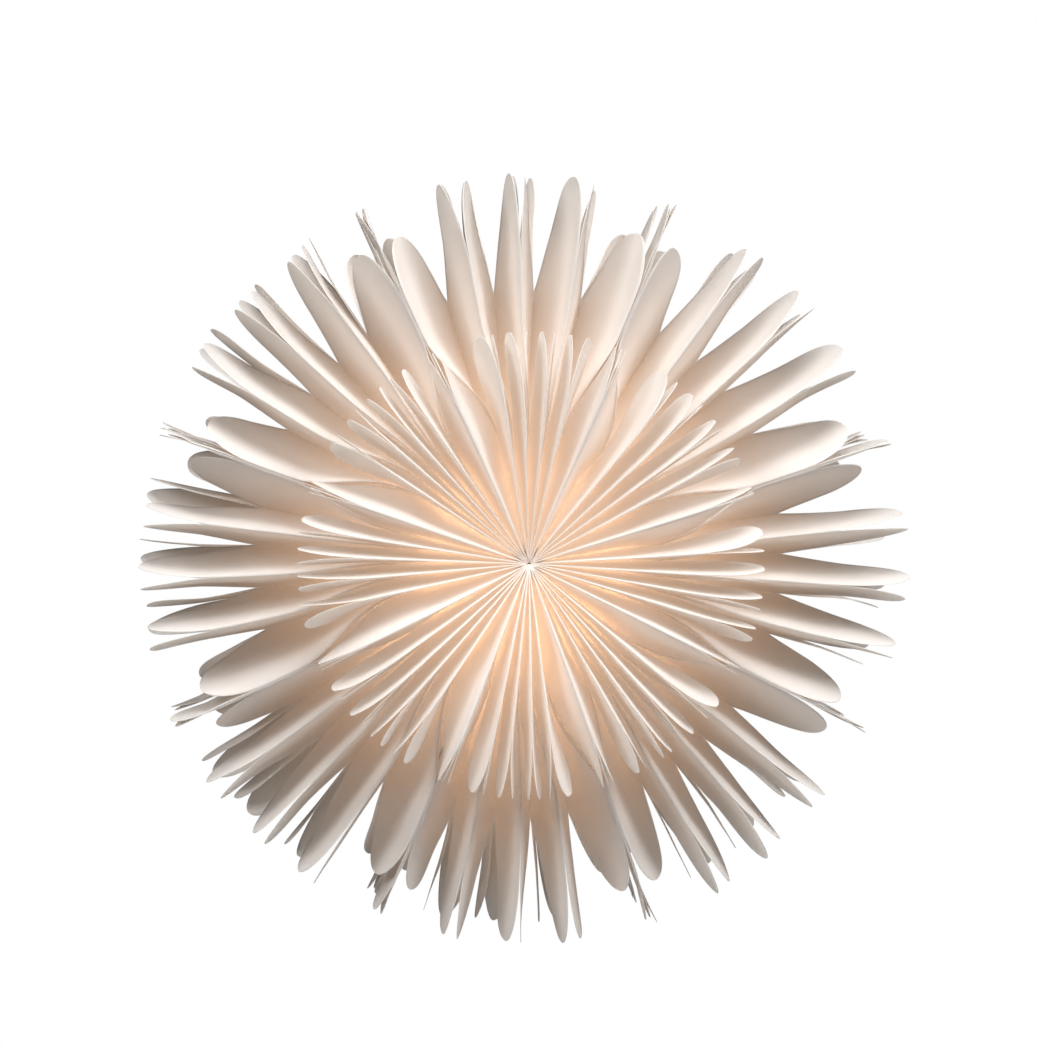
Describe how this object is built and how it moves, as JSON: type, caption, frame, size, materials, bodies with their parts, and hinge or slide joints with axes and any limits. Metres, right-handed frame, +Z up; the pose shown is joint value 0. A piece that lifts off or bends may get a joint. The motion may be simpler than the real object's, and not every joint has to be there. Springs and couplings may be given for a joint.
{
  "type": "paper honeycomb ball",
  "caption": "Round lantern of die-cut white paper leaves that fan open full circle round a lamp holder and bulb, each leaf cut into rounded petals.",
  "frame": {"origin": "centre of the ball, where the leaves' common axis meets the lamp holder's axis", "axes": "+Y along the leaves' common axis away from the viewer's pole, +Z up along the lamp holder, +X to the right"},
  "size_m": [0.5999, 0.3116, 0.5992],
  "materials": {
    "white_paper": "matte uncoated paper, translucent",
    "white_card": "matte uncoated paper in two glued layers",
    "hook_tape": "woven hook tape",
    "loop_tape": "woven loop tape",
    "white_plastic": "moulded, semi-gloss",
    "ceramic": "glazed",
    "steel": "stamped sheet",
    "brass": "plated",
    "opal_glass": "opal, lit from inside",
    "black_glass": "gloss"
  },
  "bodies": {
    "lamp_holder": {"holder_cap": "white_plastic", "holder_body": "white_plastic", "holder_insert": "ceramic", "screw_shell": "brass", "centre_contact": "brass", "carrier_plate": "steel", "pole_eyelet_front": "white_card", "pole_eyelet_back": "white_card", "section_8_leaf_2": "white_paper", "section_8_leaf_3": "white_paper"},
    "shade_ring": {"shade_ring": "white_plastic"},
    "bulb": {"bulb_globe": "opal_glass", "bulb_screw_cap": "brass", "bulb_insulator": "black_glass", "bulb_contact": "brass"},
    "right_fan_1": {"divider_1": "white_card", "section_8_leaf_4": "white_paper"},
    "right_fan_2": {"divider_2": "white_card", "section_1_leaf_1": "white_paper", "section_1_leaf_2": "white_paper", "section_1_leaf_3": "white_paper", "section_1_leaf_4": "white_paper"},
    "right_fan_3": {"divider_3": "white_card", "section_2_leaf_1": "white_paper", "section_2_leaf_2": "white_paper", "section_2_leaf_3": "white_paper", "section_2_leaf_4": "white_paper"},
    "right_fan_4": {"divider_4": "white_card", "section_3_leaf_1": "white_paper", "section_3_leaf_2": "white_paper", "section_3_leaf_3": "white_paper", "section_3_leaf_4": "white_paper"},
    "right_fan_5": {"cover_right": "white_card", "pad_right_front": "loop_tape", "pad_right_back": "loop_tape", "section_4_leaf_1": "white_paper", "section_4_leaf_2": "white_paper", "section_4_leaf_3": "white_paper", "section_4_leaf_4": "white_paper"},
    "left_fan_1": {"divider_8": "white_card", "section_8_leaf_1": "white_paper"},
    "left_fan_2": {"divider_7": "white_card", "section_7_leaf_1": "white_paper", "section_7_leaf_2": "white_paper", "section_7_leaf_3": "white_paper", "section_7_leaf_4": "white_paper"},
    "left_fan_3": {"divider_6": "white_card", "section_6_leaf_1": "white_paper", "section_6_leaf_2": "white_paper", "section_6_leaf_3": "white_paper", "section_6_leaf_4": "white_paper"},
    "left_fan_4": {"cover_left": "white_card", "pad_left_front": "hook_tape", "pad_left_back": "hook_tape", "section_5_leaf_1": "white_paper", "section_5_leaf_2": "white_paper", "section_5_leaf_3": "white_paper", "section_5_leaf_4": "white_paper"}
  },
  "joints": [
    {"name": "shade_ring_release", "type": "slide", "parent": "lamp_holder", "child": "shade_ring", "axis": [0, 0, -1], "range_m": [0, 0.012]},
    {"name": "bulb_release", "type": "slide", "parent": "lamp_holder", "child": "bulb", "axis": [0, 0, -1], "range_m": [0, 0.024]},
    {"name": "right_fold_1", "type": "hinge", "parent": "lamp_holder", "child": "right_fan_1", "pos_m": [0, 0, 0], "axis": [0, -1, 0], "range_deg": [0, 13.5], "deforming": ["section_8_leaf_4"]},
    {"name": "right_fold_2", "type": "hinge", "parent": "right_fan_1", "child": "right_fan_2", "pos_m": [0, 0, 0], "axis": [0, -1, 0], "range_deg": [0, 43.4], "deforming": ["section_1_leaf_1", "section_1_leaf_2", "section_1_leaf_3", "section_1_leaf_4"]},
    {"name": "right_fold_3", "type": "hinge", "parent": "right_fan_2", "child": "right_fan_3", "pos_m": [0, 0, 0], "axis": [0, -1, 0], "range_deg": [0, 38.6], "deforming": ["section_2_leaf_1", "section_2_leaf_2", "section_2_leaf_3", "section_2_leaf_4"]},
    {"name": "right_fold_4", "type": "hinge", "parent": "right_fan_3", "child": "right_fan_4", "pos_m": [0, 0, 0], "axis": [0, -1, 0], "range_deg": [0, 38.2], "deforming": ["section_3_leaf_1", "section_3_leaf_2", "section_3_leaf_3", "section_3_leaf_4"]},
    {"name": "right_fold_5", "type": "hinge", "parent": "right_fan_4", "child": "right_fan_5", "pos_m": [0, 0, 0], "axis": [0, -1, 0], "range_deg": [0, 31.8], "deforming": ["section_4_leaf_1", "section_4_leaf_2", "section_4_leaf_3", "section_4_leaf_4"]},
    {"name": "left_fold_1", "type": "hinge", "parent": "lamp_holder", "child": "left_fan_1", "pos_m": [0, 0, 0], "axis": [0, 1, 0], "range_deg": [0, 14.5], "deforming": ["section_8_leaf_1"]},
    {"name": "left_fold_2", "type": "hinge", "parent": "left_fan_1", "child": "left_fan_2", "pos_m": [0, 0, 0], "axis": [0, 1, 0], "range_deg": [0, 39.3], "deforming": ["section_7_leaf_1", "section_7_leaf_2", "section_7_leaf_3", "section_7_leaf_4"]},
    {"name": "left_fold_3", "type": "hinge", "parent": "left_fan_2", "child": "left_fan_3", "pos_m": [0, 0, 0], "axis": [0, 1, 0], "range_deg": [0, 38.7], "deforming": ["section_6_leaf_1", "section_6_leaf_2", "section_6_leaf_3", "section_6_leaf_4"]},
    {"name": "left_fold_4", "type": "hinge", "parent": "left_fan_3", "child": "left_fan_4", "pos_m": [0, 0, 0], "axis": [0, 1, 0], "range_deg": [0, 32.5], "deforming": ["section_5_leaf_1", "section_5_leaf_2", "section_5_leaf_3", "section_5_leaf_4"]}
  ],
  "couplings": [
    {"joint": "right_fold_1", "follows": "right_fold_2", "ratio": 0.311},
    {"joint": "right_fold_3", "follows": "right_fold_2", "ratio": 0.889},
    {"joint": "right_fold_4", "follows": "right_fold_2", "ratio": 0.88},
    {"joint": "right_fold_5", "follows": "right_fold_2", "ratio": 0.732},
    {"joint": "left_fold_1", "follows": "left_fold_2", "ratio": 0.368},
    {"joint": "left_fold_3", "follows": "left_fold_2", "ratio": 0.984},
    {"joint": "left_fold_4", "follows": "left_fold_2", "ratio": 0.826}
  ]
}
